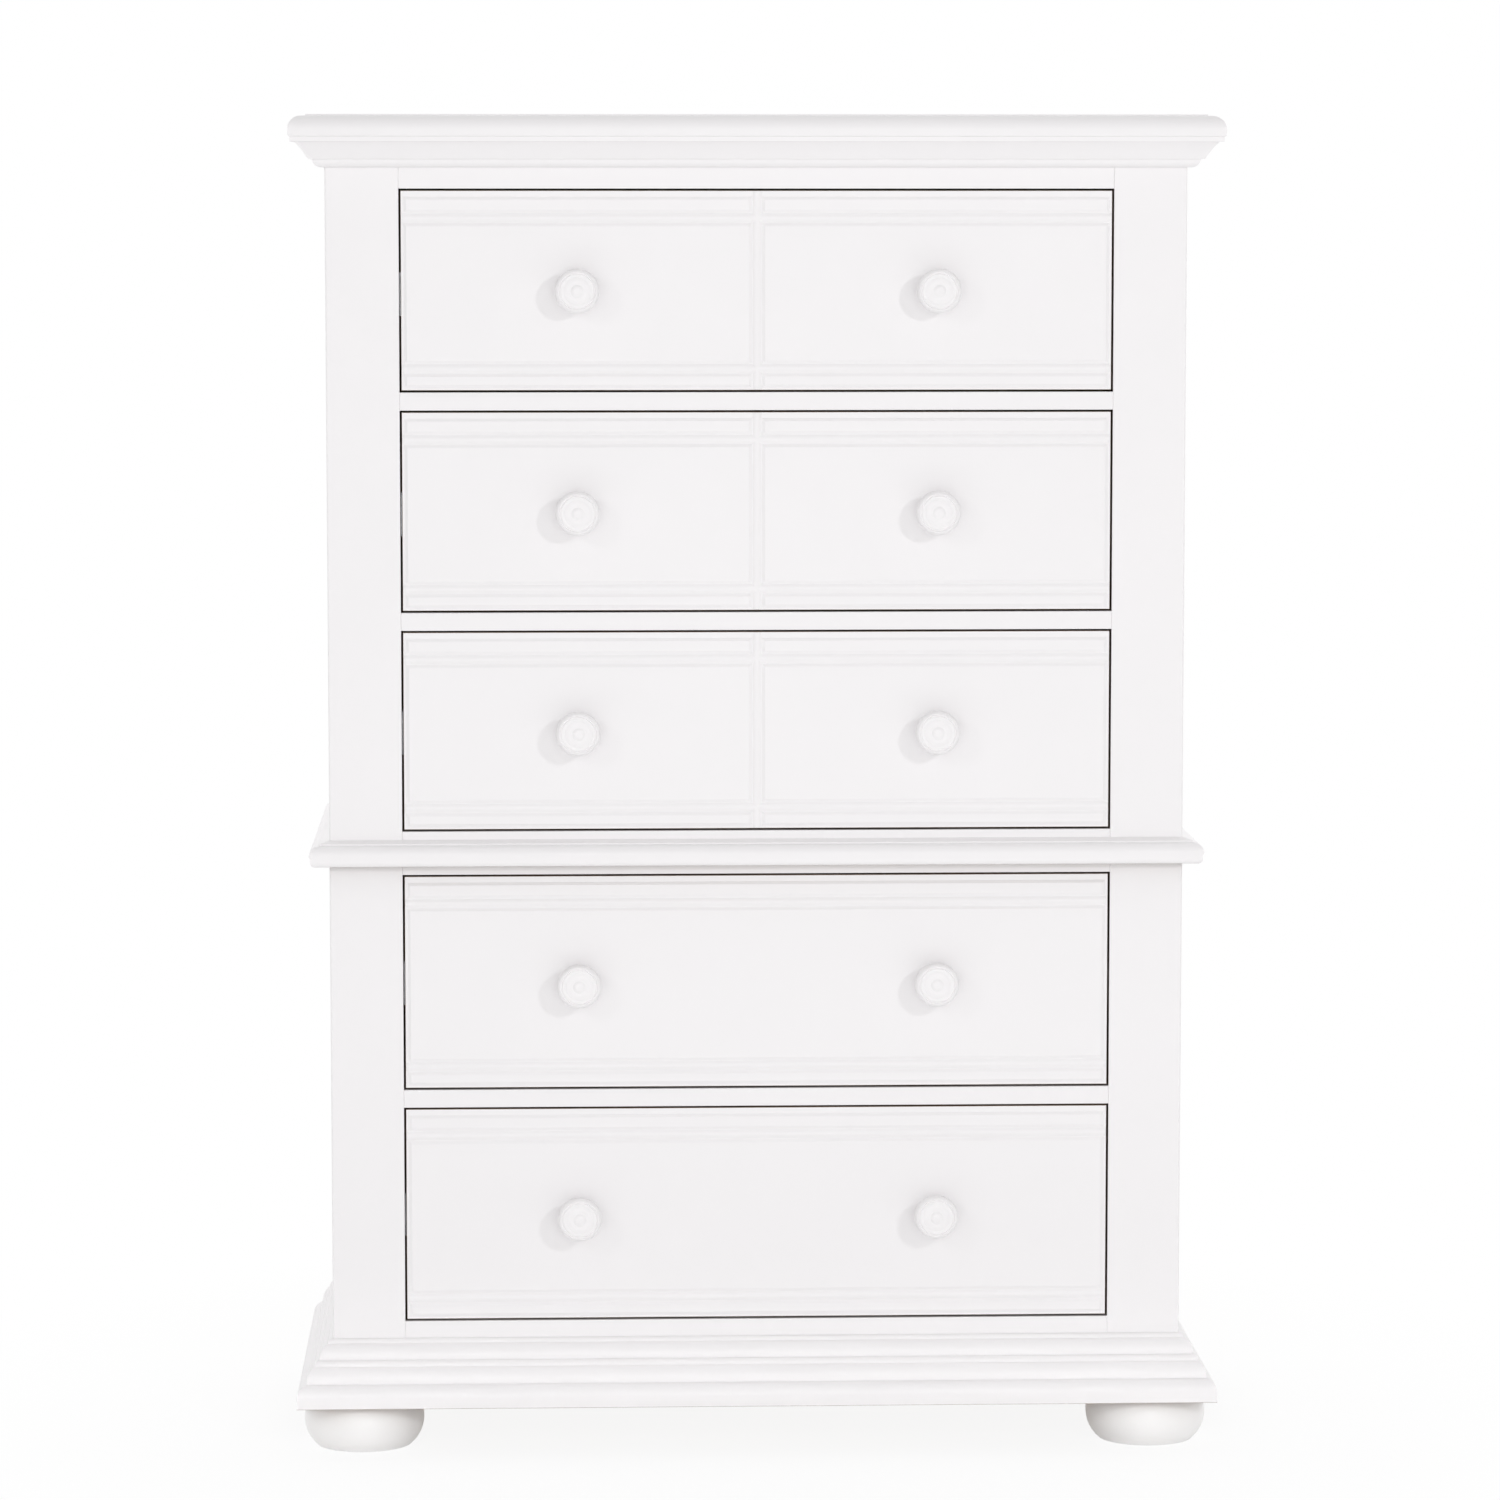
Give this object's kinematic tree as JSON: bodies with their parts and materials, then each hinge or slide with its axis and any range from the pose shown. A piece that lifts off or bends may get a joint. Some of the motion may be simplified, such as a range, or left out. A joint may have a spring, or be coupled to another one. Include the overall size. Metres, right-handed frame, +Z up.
{
  "type": "tall chest of drawers",
  "caption": "Tall white-painted chest of inset beaded drawers on metal slides, with a moulded top, waist and stepped base moulding, turned knobs and bun feet.",
  "frame": {"origin": "on the floor, under the centre of the bounding box with the drawers shut and the knobs included", "axes": "+Z up; the drawer fronts face -Y; +X is to the right when facing the drawers"},
  "size_m": [0.966, 0.457, 1.3969],
  "materials": {
    "white_paint": "satin white paint on solid wood",
    "box_wood": "clear-sealed pale hardwood",
    "plywood": "sanded plywood",
    "slide_steel": "zinc-plated folded sheet",
    "fastener_steel": "zinc plated"
  },
  "bodies": {
    "case": {"top_panel": "white_paint", "crown_moulding": "white_paint", "left_side_panel": "white_paint", "right_side_panel": "white_paint", "left_stile": "white_paint", "right_stile": "white_paint", "top_rail": "white_paint", "upper_drawer_rail_1": "white_paint", "upper_drawer_rail_2": "white_paint", "waist_rail": "white_paint", "lower_drawer_rail": "white_paint", "bottom_rail": "white_paint", "waist_moulding": "white_paint", "base_moulding": "white_paint", "bottom_panel": "plywood", "back_panel": "plywood", "bun_feet": "white_paint", "foot_bolts": "fastener_steel", "slide_posts": "box_wood", "outer_slides": "slide_steel"},
    "drawer_1": {"drawer_1_front": "white_paint", "drawer_1_sides": "box_wood", "drawer_1_back": "box_wood", "drawer_1_bottom": "plywood", "drawer_1_knobs": "white_paint", "drawer_1_knob_screws": "fastener_steel", "drawer_1_inner_slides": "slide_steel"},
    "carriage_1": {"carriage_1": "slide_steel"},
    "drawer_2": {"drawer_2_front": "white_paint", "drawer_2_sides": "box_wood", "drawer_2_back": "box_wood", "drawer_2_bottom": "plywood", "drawer_2_knobs": "white_paint", "drawer_2_knob_screws": "fastener_steel", "drawer_2_inner_slides": "slide_steel"},
    "carriage_2": {"carriage_2": "slide_steel"},
    "drawer_3": {"drawer_3_front": "white_paint", "drawer_3_sides": "box_wood", "drawer_3_back": "box_wood", "drawer_3_bottom": "plywood", "drawer_3_knobs": "white_paint", "drawer_3_knob_screws": "fastener_steel", "drawer_3_inner_slides": "slide_steel"},
    "carriage_3": {"carriage_3": "slide_steel"},
    "drawer_4": {"drawer_4_front": "white_paint", "drawer_4_sides": "box_wood", "drawer_4_back": "box_wood", "drawer_4_bottom": "plywood", "drawer_4_knobs": "white_paint", "drawer_4_knob_screws": "fastener_steel", "drawer_4_inner_slides": "slide_steel"},
    "carriage_4": {"carriage_4": "slide_steel"},
    "drawer_5": {"drawer_5_front": "white_paint", "drawer_5_sides": "box_wood", "drawer_5_back": "box_wood", "drawer_5_bottom": "plywood", "drawer_5_knobs": "white_paint", "drawer_5_knob_screws": "fastener_steel", "drawer_5_inner_slides": "slide_steel"},
    "carriage_5": {"carriage_5": "slide_steel"}
  },
  "joints": [
    {"name": "drawer_1_slide", "type": "slide", "parent": "case", "child": "drawer_1", "axis": [0, -1, 0], "range_m": [0, 0.35]},
    {"name": "carriage_1_slide", "type": "slide", "parent": "case", "child": "carriage_1", "axis": [0, -1, 0], "range_m": [0, 0.175]},
    {"name": "drawer_2_slide", "type": "slide", "parent": "case", "child": "drawer_2", "axis": [0, -1, 0], "range_m": [0, 0.35]},
    {"name": "carriage_2_slide", "type": "slide", "parent": "case", "child": "carriage_2", "axis": [0, -1, 0], "range_m": [0, 0.175]},
    {"name": "drawer_3_slide", "type": "slide", "parent": "case", "child": "drawer_3", "axis": [0, -1, 0], "range_m": [0, 0.35]},
    {"name": "carriage_3_slide", "type": "slide", "parent": "case", "child": "carriage_3", "axis": [0, -1, 0], "range_m": [0, 0.175]},
    {"name": "drawer_4_slide", "type": "slide", "parent": "case", "child": "drawer_4", "axis": [0, -1, 0], "range_m": [0, 0.35]},
    {"name": "carriage_4_slide", "type": "slide", "parent": "case", "child": "carriage_4", "axis": [0, -1, 0], "range_m": [0, 0.175]},
    {"name": "drawer_5_slide", "type": "slide", "parent": "case", "child": "drawer_5", "axis": [0, -1, 0], "range_m": [0, 0.35]},
    {"name": "carriage_5_slide", "type": "slide", "parent": "case", "child": "carriage_5", "axis": [0, -1, 0], "range_m": [0, 0.175]}
  ],
  "couplings": [
    {"joint": "carriage_1_slide", "follows": "drawer_1_slide", "ratio": 0.5},
    {"joint": "carriage_2_slide", "follows": "drawer_2_slide", "ratio": 0.5},
    {"joint": "carriage_3_slide", "follows": "drawer_3_slide", "ratio": 0.5},
    {"joint": "carriage_4_slide", "follows": "drawer_4_slide", "ratio": 0.5},
    {"joint": "carriage_5_slide", "follows": "drawer_5_slide", "ratio": 0.5}
  ]
}
